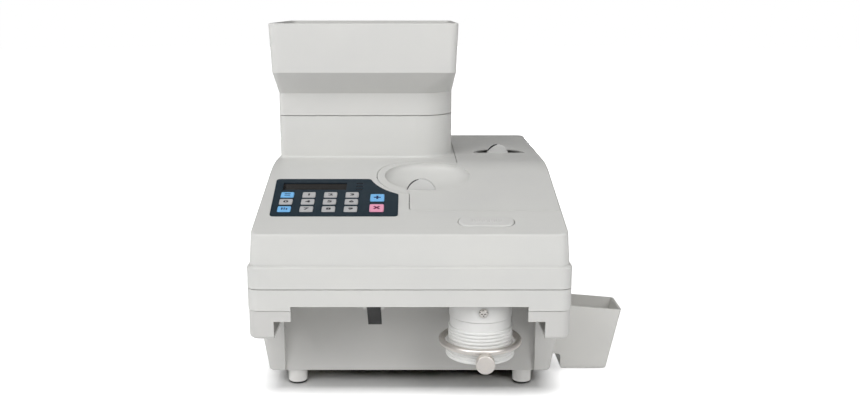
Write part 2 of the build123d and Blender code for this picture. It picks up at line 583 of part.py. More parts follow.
def dial(x, y, z, r, t, notches):
    """Thumb wheel with rounded rims and a milled edge."""
    wheel = rod_y(x, y - t / 2, y + t / 2, z, r)
    wheel = fillet(wheel.edges().filter_by(GeomType.CIRCLE), 1.4)
    for i in range(notches):
        angle = 2 * math.pi * i / notches
        wheel -= rod_y(x + r * math.cos(angle), y - t, y + t, z + r * math.sin(angle), 0.55)
    return wheel - rod_y(x, y - t, y + t, z, DIAL_AXLE_R + RUN)


def diameter_dial():
    return dial(DIAL_X, DIAL_Y, DIAL_Z, DIAL_R, DIAL_T, 40)


def thickness_dial():
    return dial(REAR_DIAL_X, REAR_DIAL_Y, REAR_DIAL_Z, REAR_DIAL_R, REAR_DIAL_T, 32)


def dial_axles():
    reach = DIAL_T / 2 + 4.7
    front = rod_y(DIAL_X, DIAL_Y - reach, DIAL_Y + reach, DIAL_Z, DIAL_AXLE_R)
    return front + rod_y(REAR_DIAL_X, REAR_DIAL_Y - reach, REAR_DIAL_Y + reach, REAR_DIAL_Z, DIAL_AXLE_R)


def lid_hinge_pin():
    return rod_y(HINGE_X, 221.0, 329.0, HINGE_Z, HINGE_PIN_R)


# ---------------------------------------------------------------- nozzle and bag clamp
def ring_body(z0, z1, r_out, r_in):
    return rod_z(NOZZLE_X, NOZZLE_Y, z0, z1, r_out) - rod_z(NOZZLE_X, NOZZLE_Y, z0 - 1, z1 + 1, r_in)


def nozzle_collar():
    collar = ring_body(NOZZLE_SEAM_Z + 0.3, FLOOR_Z + FLOOR_T + 3, COLLAR_R, BORE_R)
    collar += ring_body(FLOOR_Z + FLOOR_T, FLOOR_Z + FLOOR_T + 3, COLLAR_R + 6, BORE_R)
    return collar - rod_y(COLLAR_SCREW_X, 8.0, 20.0, COLLAR_SCREW_Z, 2.0)


def rib_profile(start_z, count, root, crest, pitch):
    """Rounded ribs one under the other, down the outside of the tube."""
    points = []
    for i in range(count):
        high = start_z - i * pitch
        points.append(((root, high), (crest, high - pitch / 2), (root, high - pitch)))
    return points


def nozzle_tube():
    ribs = rib_profile(87.2, 5, RIB_R - 1.0, RIB_R, RIB_PITCH)
    bands = rib_profile(NOZZLE_END_Z + 3 * RIB_PITCH, 3, FLANGE_R - 1.0, FLANGE_R, RIB_PITCH)
    top = NOZZLE_SEAM_Z - 0.3
    with BuildSketch(Plane.XZ) as section:
        with BuildLine():
            Polyline((BORE_R, NOZZLE_END_Z), (BORE_R, top), (NOZZLE_R, top))
            Polyline((NOZZLE_R, top), (NOZZLE_R, ribs[0][0][1]), ribs[0][0])
            for rib in ribs + bands:
                ThreePointArc(*rib)
            Line(ribs[-1][2], bands[0][0])
            Line(bands[-1][2], (BORE_R, NOZZLE_END_Z))
        make_face()
    return Pos(NOZZLE_X, NOZZLE_Y, 0) * revolve(section.sketch, Axis.Z)


def pan_screw(head_r, head_t, shank_r, shank_l):
    """Pan-head screw with a cross recess, head along +Z, shank along -Z."""
    head = Pos(0, 0, head_t / 2) * Cylinder(head_r, head_t)
    head = fillet(head.faces().sort_by(Axis.Z)[-1].edges(), head_t * 0.6)
    for angle in (0, 90):
        head -= Pos(0, 0, head_t) * Rot(0, 0, angle) * Box(head_r * 1.1, head_r * 0.25, head_t * 0.9)
    return head + Pos(0, 0, -shank_l / 2) * Cylinder(shank_r, shank_l)


def collar_screw():
    return Pos(COLLAR_SCREW_X, 12.6, COLLAR_SCREW_Z) * Rot(90, 0, 0) * pan_screw(4.6, 2.8, 2.0, 5.4)


def clamp_ring():
    ring = Pos(NOZZLE_X, NOZZLE_Y, RING_Z) * Torus(RING_R, RING_WIRE_R)
    lug = rod_y(KNOB_X, 0.5, 7.5, KNOB_Z, 5.5) + box(KNOB_X - 4, KNOB_X + 4, 1.0, 7.0, KNOB_Z, RING_Z)
    return ring + lug - rod_y(KNOB_X, -1.0, 9.0, KNOB_Z, 2.5 + RUN)


def clamp_knob():
    head = rod_y(KNOB_X, KNOB_FACE_Y, 0.0, KNOB_Z, KNOB_R)
    head = fillet(head.edges().filter_by(GeomType.CIRCLE), 1.3)
    return head + rod_y(KNOB_X, -0.5, 8.6, KNOB_Z, 2.5)


# ---------------------------------------------------------------- coin mechanism
def deck_plate():
    deck = box(-148.0, 118.0, 80.0, 385.0, DECK_Z, DECK_Z + DECK_T)
    deck -= rod_z(DISC_X, DISC_Y, DECK_Z - 1, DECK_Z + DECK_T + 1, 11.0)
    deck -= box(66.0, 88.0, 130.0, 166.0, DECK_Z - 1, DECK_Z + DECK_T + 1)
    return deck + [rod_z(x, y, FLOOR_Z + FLOOR_T, DECK_Z, 5.0) for x, y in DECK_POSTS]


def feed_disc():
    disc = rod_z(DISC_X, DISC_Y, DISC_Z, DISC_Z + DISC_T, DISC_R)
    disc = fillet(disc.edges().sort_by(Axis.Z)[-1], 1.5)
    hub = Pos(DISC_X, DISC_Y, DISC_Z + DISC_T + 6) * Cone(18, 7, 12)
    for i in range(3):
        arm = Pos(34, 0, 2) * Box(50, 5, 4)
        hub += Pos(DISC_X, DISC_Y, DISC_Z + DISC_T) * Rot(0, 0, 120 * i) * arm
    return disc + hub - rod_z(DISC_X, DISC_Y, DISC_Z - 1, DISC_Z + DISC_T, 5.0)


def disc_shaft():
    return rod_z(DISC_X, DISC_Y, PULLEY_Z - 4, DISC_Z + DISC_T, 5.0)


def disc_bearing():
    ring = rod_z(DISC_X, DISC_Y, DECK_Z - 4, DECK_Z + 5, 11.0)
    return ring - rod_z(DISC_X, DISC_Y, DECK_Z - 5, DECK_Z + 6, 5.0 + RUN)


def pulley(x, y, r, bore):
    wheel = rod_z(x, y, PULLEY_Z + 1, PULLEY_Z + PULLEY_T - 1, r)
    for z in (PULLEY_Z, PULLEY_Z + PULLEY_T - 1):
        wheel += rod_z(x, y, z, z + 1, r + 3)
    return wheel - rod_z(x, y, PULLEY_Z - 1, PULLEY_Z + PULLEY_T + 1, bore)


def disc_pulley():
    return pulley(DISC_X, DISC_Y, DISC_PULLEY_R, 5.0)


def motor_pulley():
    """Small pulley, moulded onto the motor's shaft."""
    shaft = rod_z(MOTOR_X, MOTOR_Y, FLOOR_Z + FLOOR_T + 31, PULLEY_Z + PULLEY_T, 3.0)
    return pulley(MOTOR_X, MOTOR_Y, MOTOR_PULLEY_R, 2.0) + shaft


def pulley_hull(grow, z0, z1):
    circles = Pos(DISC_X, DISC_Y) * Circle(DISC_PULLEY_R + grow)
    circles += Pos(MOTOR_X, MOTOR_Y) * Circle(MOTOR_PULLEY_R + grow)
    return Pos(0, 0, z0) * extrude(make_hull(circles.edges()), z1 - z0, dir=(0, 0, 1))


def drive_belt():
    low, high = PULLEY_Z + 1.4, PULLEY_Z + PULLEY_T - 1.4
    return pulley_hull(1.7, low, high) - pulley_hull(0.15, low - 1, high + 1)


def drive_motor():
    low = FLOOR_Z + FLOOR_T
    body = rod_z(MOTOR_X, MOTOR_Y, low, low + 46, MOTOR_R)
    body = fillet(body.edges().sort_by(Axis.Z)[-1], 2.0)
    body += rod_z(MOTOR_X, MOTOR_Y, low + 46, low + 49, 9.0)
    body += box_at(MOTOR_X, MOTOR_Y, low + 1.5, 70.0, 30.0, 3.0)
    return body - rod_z(MOTOR_X, MOTOR_Y, low + 30, low + 50, 3.0 + RUN)


def coin_funnel():
    """Guard round the feed disc, with a conical mouth that fills the neck."""
    low, high = DISC_Z + DISC_T + 3, TOP_Z - 1
    block = plan_block(NECK_X0 + 7, NECK_X1 - 3.6, NECK_Y0 + 3.6, NECK_Y1 - 3.6, low, high, 5.0)
    block &= neck_block(4.0, low - 1, high + 1)
    mouth = Pos(DISC_X, DISC_Y, (low + high) / 2) * Cone(FUNNEL_R, FUNNEL_R + 24, high - low + 0.2)
    guard = rod_z(DISC_X, DISC_Y, DECK_Z + DECK_T, low, DISC_R + 7)
    guard -= rod_z(DISC_X, DISC_Y, DECK_Z, low, DISC_R + 2.5)
    guard -= box(DISC_X + 30, DISC_X + 100, DISC_Y - 60, DISC_Y - 14, DECK_Z, low)
    block -= mouth
    return block + (guard & box(-148, NECK_X1 - 4, NECK_Y0 - 20, NECK_Y1 + 10, DECK_Z + DECK_T, low))


def coin_rail():
    """Track along which single coins run to the outlet, with its fence and the rollers' axles."""
    low = DECK_Z + DECK_T
    track = box(RAIL_X0, RAIL_X1 + 3, RAIL_Y0, RAIL_Y1, low, RAIL_TOP_Z)
    track += box(RAIL_X1, RAIL_X1 + 3, RAIL_Y0 + 4, RAIL_Y1, low, 208.5)
    track += box(38.0, RAIL_X0, 228.0, RAIL_Y1 + 12, low, RAIL_TOP_Z)
    track += box(RAIL_X0, RAIL_X1 + 3, RAIL_Y1, RAIL_Y1 + 12, low, RAIL_TOP_Z)
    track -= box(66.0, RAIL_X1, 132.0, 164.0, low - 1, RAIL_TOP_Z + 1)
    return track + [rod_x(ROLLER_X0 - 2, RAIL_X1 + 1, y, ROLLER_Z, 2.0) for y in ROLLER_Y]


def roller(y):
    drum = rod_x(ROLLER_X0, ROLLER_X1, y, ROLLER_Z, ROLLER_R)
    return drum - rod_x(ROLLER_X0 - 1, ROLLER_X1 + 1, y, ROLLER_Z, 2.0 + RUN)


def belt_loop(grow, x0, x1):
    r = ROLLER_R + grow
    loop = box(x0, x1, ROLLER_Y[0], ROLLER_Y[1], ROLLER_Z - r, ROLLER_Z + r)
    for y in ROLLER_Y:
        loop += rod_x(x0, x1, y, ROLLER_Z, r)
    return loop


def path_belt():
    return belt_loop(PATH_BELT_T, ROLLER_X0 + 1, ROLLER_X1 - 1) - belt_loop(0.12, ROLLER_X0, ROLLER_X1)


def guide_rail():
    """Strip that the front dial moves across the track to suit the coin."""
    strip = box(36.0, 52.0, 92.0, 222.0, RAIL_TOP_Z + 0.3, RAIL_TOP_Z + 3.5)
    for y in (100.0, 206.0):
        strip += box(36.0, 43.0, y, y + 10, DECK_Z + DECK_T + 0.3, RAIL_TOP_Z + 0.3)
    return strip


def count_sensor():
    low = DECK_Z + DECK_T
    body = box(RAIL_X1 + 3.0, RAIL_X1 + 15, 104.0, 120.0, low, low + 13)
    return fillet(body.edges().filter_by(Axis.Z), 1.5)


def coin_chute():
    """Tube that drops counted coins into the nozzle."""
    return ring_body(FLOOR_Z + FLOOR_T + 3, DECK_Z - 4, BORE_R + 3, BORE_R)


def chute_bar(wall):
    place = Pos(118.0, CHUTE_Y, 126.0) * Rot(0, CHUTE_LEAN, 0)
    return place * Box(260.0, CHUTE_WIDTH - 2 * wall, CHUTE_HEIGHT - 2 * wall)


def reject_chute():
    duct = chute_bar(0.0) - chute_bar(CHUTE_WALL)
    return duct & box(64.0, BASE_HALF - WALL - 0.4, 120.0, 176.0, 40.0, DECK_Z - 0.4)


# ---------------------------------------------------------------- reject tray
def tray_block(inset):
    """Tray outline seen from the front, extruded between its front and back walls.

    With an inset it is the tray's hollow, which runs out past the rim.
    """
    top_left, top_right, low_right, low_left, step_low, step_high = TRAY_OUTLINE
    rise = 10.0 if inset else 0.0
    points = [
        (top_left[0] + inset, top_left[1] + rise),
        (top_right[0] - inset + rise * 0.21, top_right[1] + rise),
        (low_right[0] - inset * 0.8, low_right[1] + inset),
        (low_left[0] + inset, low_left[1] + inset),
        (step_low[0] + inset, step_low[1] + inset),
        (step_high[0] + inset, step_high[1] + inset),
    ]
    face = make_face(Polyline(*[(x, 0, z) for x, z in points], close=True))
    depth = TRAY_Y1 - TRAY_Y0 - 2 * inset
    block = Pos(0, TRAY_Y0 + inset, 0) * extrude(face, depth, dir=(0, 1, 0))
    return fillet([e for e in block.edges() if is_tray_edge(e)], 4.0 - inset * 0.8)


def is_tray_edge(edge):
    """True for the tray's outer bottom edges and its two sloping corners."""
    middle = edge @ 0.5
    low_long = edge.length > 30.0 and middle.Z < 60.0
    return middle.X > 168.0 and middle.Z < 50.0 and (low_long or edge.length > 60.0)


def reject_tray():
    tray = tray_block(0.0) - tray_block(TRAY_WALL)
    wall_x = TRAY_OUTLINE[0][0]
    tray -= box(wall_x - 1, wall_x + TRAY_WALL + 2, TRAY_Y0 + 5, TRAY_Y1 - 5, 54.0, 90.0)
    for y in STUD_Y:
        tray -= rod_x(wall_x - 1, wall_x + TRAY_WALL + 1, y, STUD_Z, STUD_R + 0.4)
        tray -= box(wall_x - 1, wall_x + TRAY_WALL + 1, y - STUD_R - 0.4, y + STUD_R + 0.4, 20.0, STUD_Z)
        tray -= box(wall_x - 1, wall_x + 6.5, y - STUD_HEAD_R - 0.5, y + STUD_HEAD_R + 0.5, 20.0, 28.0)
    return tray


def tray_bracket():
    """Plate on the side of the base with two headed studs for the tray's slots."""
    wall_x, tray_x = BASE_HALF, TRAY_OUTLINE[0][0]
    bracket = box(wall_x, tray_x - 0.6, STUD_Y[0] - 8, STUD_Y[1] + 8, FLARE_Z + 1, 55.0)
    bracket += box(wall_x, tray_x - 0.6, STUD_Y[0] - 8, STUD_Y[1] + 8, 34.0, FLARE_Z + 1)
    bracket = bracket - tub(0.0)
    for y in STUD_Y:
        bracket += rod_x(wall_x + 0.5, tray_x + TRAY_WALL + 0.3, y, STUD_Z, STUD_R)
        bracket += rod_x(tray_x + TRAY_WALL + 0.3, tray_x + TRAY_WALL + 2.3, y, STUD_Z, STUD_HEAD_R)
    return bracket


# ---------------------------------------------------------------- feet, screws and electrics
def foot_places():
    return [(x, y) for x in (-FOOT_X, FOOT_X) for y in FOOT_Y]


def rubber_feet():
    foot = Pos(0, 0, BOTTOM_Z / 2) * Cone(FOOT_END_R, FOOT_R, BOTTOM_Z)
    foot = fillet(foot.edges().sort_by(Axis.Z)[0], 1.6)
    foot -= Pos(0, 0, 3) * Cylinder(5.0, 6.0)
    foot -= Pos(0, 0, BOTTOM_Z / 2) * Cylinder(SCREW_R, BOTTOM_Z)
    return Part() + [Pos(x, y, 0) * foot for x, y in foot_places()]


def case_screws():
    """Six equal screws: one up through each foot, two through the cover's rear wall."""
    screw = pan_screw(4.2, 2.4, SCREW_R, 14.0)
    rear_y = 397.2 - (COVER_SCREW_Z - 150.0) * 5.2 / 95.0
    feet = [Pos(x, y, 6.0) * Rot(180, 0, 0) * screw for x, y in foot_places()]
    rear = [Pos(x, rear_y + 0.35, COVER_SCREW_Z) * Rot(-90, 0, 0) * screw for x in COVER_SCREW_X]
    return Part() + feet + rear


def power_supply():
    low = BOTTOM_Z + WALL
    base = box(-140.0, -50.0, 280.0, 372.0, low, low + 3)
    case = box(-136.0, -54.0, 284.0, 368.0, low + 3, low + 38)
    return base + fillet(case.edges().filter_by(Axis.Z), 3.0)


def control_board():
    top = CONTROL_BOARD_Z + CONTROL_BOARD_T
    board = box(BOSS_X[0] - 6, BOSS_X[1] + 6, BOSS_Y[0] - 6, BOSS_Y[1] + 6, CONTROL_BOARD_Z, top)
    return board + [box_at(x, y, top + CHIP_H / 2, w, d, CHIP_H) for x, y, w, d in CHIPS]


def power_inlet():
    """Three-pin appliance inlet in the rear wall."""
    inlet = box_at(INLET_X, (BASE_Y1 + REAR_Y) / 2, REAR_PANEL_Z, 32.0, REAR_Y - BASE_Y1, 26.0)
    inlet = fillet(inlet.edges().filter_by(Axis.Y), 3.0)
    inlet += box(INLET_X - 12, INLET_X + 12, 378.0, BASE_Y1, REAR_PANEL_Z - 10, REAR_PANEL_Z + 10)
    socket = box(INLET_X - 10, INLET_X + 10, 385.0, REAR_Y + 1, REAR_PANEL_Z - 7, REAR_PANEL_Z + 7)
    inlet -= fillet(socket.edges().filter_by(Axis.Y), 2.0)
    for x, z in ((-6.0, -1.5), (0.0, 2.5), (6.0, -1.5)):
        inlet += box_at(INLET_X + x, 389.0, REAR_PANEL_Z + z, 2.0, 10.0, 4.0)
    return inlet


def switch_frame():
    frame = box_at(SWITCH_X, (BASE_Y1 + REAR_Y - 0.6) / 2, REAR_PANEL_Z, 20.0, REAR_Y - 0.6 - BASE_Y1, 27.0)
    frame = fillet(frame.edges().filter_by(Axis.Y), 1.5)
    frame += box_at(SWITCH_X, 390.0, REAR_PANEL_Z, 15.0, 2 * (BASE_Y1 - 390.0), 22.0)
    frame -= box_at(SWITCH_X, ROCKER_Y, REAR_PANEL_Z, 12.4, 20.0, 19.0)
    return frame - rod_x(SWITCH_X - 7.3, SWITCH_X + 7.3, ROCKER_Y, REAR_PANEL_Z, ROCKER_PIN_R + RUN)


def power_switch():
    rocker = Rot(8, 0, 0) * fillet(Box(12.0, 8.0, 17.0).edges().filter_by(Axis.X), 1.2)
    rocker = Pos(SWITCH_X, ROCKER_Y, REAR_PANEL_Z) * rocker
    return rocker + rod_x(SWITCH_X - 7.1, SWITCH_X + 7.1, ROCKER_Y, REAR_PANEL_Z, ROCKER_PIN_R)


# ---------------------------------------------------------------- write every part
SINGLE_PARTS = (
    base_shell, middle_frame, top_cover, path_lid, hopper, keypad_panel, display_window, status_leds,
    keypad_board, release_tab, diameter_dial, thickness_dial, dial_axles, lid_hinge_pin, nozzle_collar,
    nozzle_tube, collar_screw, clamp_ring, clamp_knob, deck_plate, feed_disc, disc_shaft, disc_bearing,
    disc_pulley, motor_pulley, drive_belt, drive_motor, coin_funnel, coin_rail, path_belt, guide_rail,
    count_sensor, coin_chute, reject_chute, reject_tray, tray_bracket, rubber_feet, case_screws, hood_lever,
    power_supply, control_board, power_inlet, switch_frame, power_switch,
)


def main():
    os.makedirs("parts", exist_ok=True)
    for make in SINGLE_PARTS:
        save(make(), make.__name__)
    for name, x, s, w, h in key_places():
        save(key_cap(x, s, w, h), name)
    save(roller(ROLLER_Y[0]), "front_roller")
    save(roller(ROLLER_Y[1]), "rear_roller")


main()
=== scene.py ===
import json
import math

import bmesh
import bpy
from mathutils import Matrix, Vector


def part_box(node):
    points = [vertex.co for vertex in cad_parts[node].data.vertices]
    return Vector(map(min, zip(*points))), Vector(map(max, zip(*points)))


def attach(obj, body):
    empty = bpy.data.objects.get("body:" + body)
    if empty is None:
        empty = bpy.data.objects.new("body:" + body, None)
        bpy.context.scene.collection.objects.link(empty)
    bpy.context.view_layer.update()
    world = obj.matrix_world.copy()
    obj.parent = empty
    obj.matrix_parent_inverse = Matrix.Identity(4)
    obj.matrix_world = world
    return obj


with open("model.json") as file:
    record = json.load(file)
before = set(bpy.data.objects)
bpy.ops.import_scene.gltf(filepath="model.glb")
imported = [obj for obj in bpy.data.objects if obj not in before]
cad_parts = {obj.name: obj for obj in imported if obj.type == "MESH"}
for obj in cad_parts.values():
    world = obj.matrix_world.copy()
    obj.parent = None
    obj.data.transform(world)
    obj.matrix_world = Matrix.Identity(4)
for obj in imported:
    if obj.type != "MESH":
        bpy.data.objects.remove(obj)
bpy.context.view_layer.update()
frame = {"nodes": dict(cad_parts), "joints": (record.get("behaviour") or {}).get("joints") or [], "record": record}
NODES = frame["nodes"]
JOINTS = {j["name"]: j for j in frame["joints"]}

MM = 0.001

# ------------------------------------------------------------------ camera
CAMERA_POS = (-0.03606, -1.0877, 0.4074)
CAMERA_PITCH = 11.83            # degrees below the horizon
SENSOR, LENS = 36.0, 39.7674    # millimetres
SHIFT_X = 0.02093               # the object stands a little left of the middle

# ------------------------------------------------------------------ lights: place, aim, size, watts
# Only the front ones show in reflections.
LIGHTS = {
    "front_left": ((-1.0, -1.4, 1.3), (0.0, -0.1, 0.2), (1.3, 1.3), 17.0),
    "front_right": ((0.9, -1.4, 1.0), (0.0, -0.1, 0.2), (1.0, 1.0), 10.5),
    "front_high": ((0.0, -1.3, 1.7), (0.0, -0.1, 0.2), (1.6, 1.0), 8.5),
    "left": ((-1.5, 0.2, 1.0), (0.0, 0.1, 0.2), (1.2, 1.2), 2.5),
    "behind": ((0.0, 1.4, 1.5), (0.0, 0.1, 0.2), (1.8, 1.2), 7.5),
    "low_behind": ((0.0, 1.9, 0.1), (0.0, 0.1, 0.1), (2.4, 0.2), 16.0),
    "low_left": ((-1.9, 0.1, 0.1), (0.0, 0.1, 0.1), (1.8, 0.2), 8.0),
    "low_right": ((1.9, 0.1, 0.1), (0.0, 0.1, 0.1), (1.8, 0.2), 3.0),
}
WORLD_STRENGTH = 0.12
FLOOR_GLOW = (0.55, 1.0)        # beside the part, and far away
FOOT_MARGIN = 0.004             # the floor's shadow reaches this far past the feet
FLOOR_HALF, SURROUND_R, PAPER_HALF = 9.0, 8.9, 6.0


# ------------------------------------------------------------------ node helpers
class Shader:
    """A principled material whose grain comes from procedural nodes in object coordinates."""

    def __init__(self, name, colour, rough, metallic=0.0):
        self.mat = bpy.data.materials.new(name)
        self.mat.use_nodes = True
        self.tree = self.mat.node_tree
        self.nodes, self.links = self.tree.nodes, self.tree.links
        self.bsdf = self.nodes["Principled BSDF"]
        self.colour = tuple(colour) + (1.0,)
        self.bsdf.inputs["Base Color"].default_value = self.colour
        self.bsdf.inputs["Roughness"].default_value = rough
        self.bsdf.inputs["Metallic"].default_value = metallic
        self.coord = self.nodes.new("ShaderNodeTexCoord").outputs["Object"]
        self.rough = rough
        self.height = None

    def noise(self, size, detail=2.0, stretch=(1, 1, 1), seed=0.0):
        """Noise whose blobs are about size metres across, squeezed by stretch."""
        mapping = self.nodes.new("ShaderNodeMapping")
        mapping.inputs["Scale"].default_value = stretch
        mapping.inputs["Location"].default_value = (seed, seed * 0.7, seed * 1.3)
        self.links.new(self.coord, mapping.inputs["Vector"])
        noise = self.nodes.new("ShaderNodeTexNoise")
        noise.inputs["Scale"].default_value = 1.0 / size
        noise.inputs["Detail"].default_value = detail
        self.links.new(mapping.outputs["Vector"], noise.inputs["Vector"])
        return noise.outputs["Fac"]

    def remap(self, value, low, high, from_low=0.3, from_high=0.7):
        node = self.nodes.new("ShaderNodeMapRange")
        node.inputs["From Min"].default_value = from_low
        node.inputs["From Max"].default_value = from_high
        node.inputs["To Min"].default_value = low
        node.inputs["To Max"].default_value = high
        self.links.new(value, node.inputs["Value"])
        return node.outputs["Result"]

    def mix(self, fac, a, b):
        """Colour between a and b; each is a colour or a socket."""
        node = self.nodes.new("ShaderNodeMix")
        node.data_type = "RGBA"
        self.links.new(fac, node.inputs[0])
        for socket, value in ((node.inputs[6], a), (node.inputs[7], b)):
            if isinstance(value, bpy.types.NodeSocket):
                self.links.new(value, socket)
            else:
                socket.default_value = tuple(value[:3]) + (1.0,)
        return node.outputs[2]

    def set_colour(self, socket):
        self.links.new(socket, self.bsdf.inputs["Base Color"])

    def vary_colour(self, size, amount, tint=(1.0, 1.0, 1.0), seed=0.0):
        low = [c * (1 - amount) for c in self.colour[:3]]
        high = [min(1.0, c * (1 + amount) * t) for c, t in zip(self.colour[:3], tint)]
        socket = self.mix(self.remap(self.noise(size, 4.0, seed=seed), 0.0, 1.0), low, high)
        self.set_colour(socket)
        return socket

    def vary_rough(self, size, amount, seed=3.0, stretch=(1, 1, 1)):
        value = self.remap(self.noise(size, 3.0, stretch, seed), self.rough - amount, self.rough + amount)
        self.links.new(value, self.bsdf.inputs["Roughness"])

    def bump(self, value, depth, strength=1.0):
        node = self.nodes.new("ShaderNodeBump")
        node.inputs["Distance"].default_value = depth
        node.inputs["Strength"].default_value = strength
        self.links.new(value, node.inputs["Height"])
        if self.height is not None:
            self.links.new(self.height, node.inputs["Normal"])
        self.height = node.outputs["Normal"]
        self.links.new(self.height, self.bsdf.inputs["Normal"])

    def vector_math(self, operation, a, b=None):
        node = self.nodes.new("ShaderNodeVectorMath")
        node.operation = operation
        self.links.new(a, node.inputs[0])
        if b is not None:
            node.inputs[1].default_value = b
        return node.outputs["Value" if operation == "LENGTH" else "Vector"]

    def above(self, axis, level, blur=0.0002):
        """0 below a level of X, Y or Z in metres, 1 above it."""
        split = self.nodes.new("ShaderNodeSeparateXYZ")
        self.links.new(self.coord, split.inputs["Vector"])
        return self.remap(split.outputs[axis], 0.0, 1.0, level - blur, level + blur)


def moulded(name, colour, rough=0.34, grain=0.0007, depth=0.00004, vary=0.02, seed=0.0, ior=1.45):
    """Injection-moulded plastic: fine spark-eroded grain over slow waves and faint cloudiness."""
    s = Shader(name, colour, rough)
    s.bsdf.inputs["IOR"].default_value = ior
    s.vary_colour(0.07, vary, (1.0, 0.998, 0.99), seed)
    s.vary_rough(0.02, 0.05, seed + 3.0)
    s.bump(s.noise(0.03, 2.0, seed=seed + 5.0), 0.00025, 0.25)
    s.bump(s.noise(grain, 3.0, seed=seed + 7.0), depth, 0.7)
    return s


def metal(name, colour, rough, stretch, line=0.0006, depth=0.00001, vary=0.05, seed=0.0):
    """Worked metal, with fine lines along the axis that stretch leaves longest."""
    s = Shader(name, colour, rough, metallic=1.0)
    s.vary_colour(0.012, vary, (1.0, 0.99, 0.97), seed)
    s.vary_rough(line * 4, 0.07, seed + 3.0, stretch)
    s.bump(s.noise(line, 2.0, stretch, seed + 5.0), depth, 0.6)
    return s


def gloss(name, colour, rough=0.12, seed=0.0):
    s = Shader(name, colour, rough)
    s.bsdf.inputs["IOR"].default_value = 1.2
    s.vary_colour(0.02, 0.12, seed=seed)
    s.vary_rough(0.006, 0.03, seed + 2.0)
    s.bump(s.noise(0.008, 2.0, seed=seed + 4.0), 0.00002, 0.3)
    return s


def rubber(name, colour, seed=0.0):
    s = Shader(name, colour, 0.72)
    s.vary_colour(0.01, 0.15, seed=seed)
    s.vary_rough(0.004, 0.08, seed + 2.0)
    s.bump(s.noise(0.0005, 4.0, seed=seed + 4.0), 0.00006, 0.8)
    return s


# ------------------------------------------------------------------ materials
HOUSING = (0.665, 0.665, 0.648)
M = {}
M["housing"] = moulded("housing", HOUSING, seed=1.0).mat
M["lid_plastic"] = moulded("lid_plastic", HOUSING, seed=2.0).mat
# Painted shade: base_plastic is a darker copy of the housing grey, for the shadow under the hood. The base is the
# same plastic as the housing.
M["base_plastic"] = moulded("base_plastic", (0.62, 0.615, 0.60), seed=3.0).mat
HOPPER = (0.66, 0.658, 0.643)
M["hopper_plastic"] = moulded("hopper_plastic", HOPPER, rough=0.38, depth=0.00003, seed=4.0, ior=1.25).mat
# Painted light: tray_grey is lighter than the housing grey, making up for the light that the lamps give the tray
# too little of.
M["tray_grey"] = moulded("tray_grey", (0.71, 0.704, 0.68), rough=0.34, depth=0.00003, seed=5.0).mat
M["tab_grey"] = moulded("tab_grey", (0.66, 0.658, 0.645), rough=0.42, seed=6.0).mat
M["dial_grey"] = moulded("dial_grey", (0.62, 0.62, 0.61), rough=0.4, depth=0.00002, seed=7.0).mat
M["nozzle_white"] = moulded("nozzle_white", (0.77, 0.77, 0.76), rough=0.38, depth=0.00002, seed=8.0).mat
M["panel_navy"] = moulded("panel_navy", (0.018, 0.032, 0.045), rough=0.5, vary=0.06, seed=9.0, ior=1.2).mat
M["funnel_dark"] = moulded("funnel_dark", (0.03, 0.03, 0.033), rough=0.5, vary=0.1, seed=10.0).mat
M["pulley_black"] = moulded("pulley_black", (0.015, 0.015, 0.016), rough=0.42, vary=0.1, seed=11.0).mat
M["black_plastic"] = moulded("black_plastic", (0.012, 0.012, 0.013), rough=0.45, vary=0.1, seed=12.0).mat
M["key_grey"] = moulded("key_grey", (0.50, 0.50, 0.51), rough=0.45, depth=0.00002, seed=13.0).mat
M["key_blue"] = moulded("key_blue", (0.20, 0.53, 0.92), rough=0.45, depth=0.00002, seed=14.0).mat
M["key_pink"] = moulded("key_pink", (0.90, 0.37, 0.54), rough=0.45, depth=0.00002, seed=15.0).mat
M["motor_grey"] = metal("motor_grey", (0.12, 0.12, 0.125), 0.4, (1, 1, 8), seed=16.0).mat
M["steel_satin"] = metal("steel_satin", (0.80, 0.765, 0.735), 0.42, (1, 9, 1), depth=0.000004, seed=17.0).mat
M["screw_steel"] = metal("screw_steel", (0.70, 0.68, 0.65), 0.2, (6, 1, 1), seed=18.0).mat
M["deck_steel"] = metal("deck_steel", (0.55, 0.55, 0.55), 0.36, (12, 1, 1), line=0.002, seed=19.0).mat
M["disc_alu"] = metal("disc_alu", (0.70, 0.70, 0.71), 0.32, (1, 6, 1), line=0.0012, seed=20.0).mat
M["window_dark"] = gloss("window_dark", (0.010, 0.009, 0.009), 0.1, seed=21.0).mat
M["led_dark"] = gloss("led_dark", (0.008, 0.010, 0.016), 0.2, seed=22.0).mat
M["rubber_black"] = rubber("rubber_black", (0.018, 0.018, 0.018), seed=23.0).mat
M["dark_print_and_crescent"] = moulded("dark_print_and_crescent", (0.012, 0.013, 0.018), rough=0.6, vary=0.1, seed=24.0).mat
M["print_navy"] = moulded("print_navy", (0.01, 0.025, 0.11), rough=0.6, vary=0.1, seed=25.0).mat
M["print_wine"] = moulded("print_wine", (0.16, 0.012, 0.06), rough=0.6, vary=0.1, seed=26.0).mat


def board_material():
    s = Shader("board_green", (0.012, 0.10, 0.045), 0.35)
    tracks = s.remap(s.noise(0.004, 1.0, (1, 3, 1), 2.0), 0.0, 1.0, 0.49, 0.51)
    s.set_colour(s.mix(tracks, (0.010, 0.085, 0.038), (0.02, 0.15, 0.07)))
    s.vary_rough(0.003, 0.06)
    s.bump(tracks, 0.00004, 0.6)
    return s.mat


def foot_material():
    """Light plastic foot, painted black below 2.4 mm as the contact shadow under it."""
    s = moulded("foot_grey", (0.76, 0.75, 0.73), rough=0.5, seed=27.0)
    # Painted shadow: below 2.4 mm height the foot is black, standing in for its contact shadow on the floor.
    above_painted_shadow = s.above(2, 0.0024)
    s.set_colour(s.mix(above_painted_shadow, (0.012, 0.012, 0.012), (0.76, 0.75, 0.73)))
    return s.mat


M["board_green"] = board_material()
M["foot_grey"] = foot_material()

for part in frame["record"]["subparts"]:
    node = NODES[part["node"]]
    node.data.materials.clear()
    node.data.materials.append(M[part["material_slot"]])


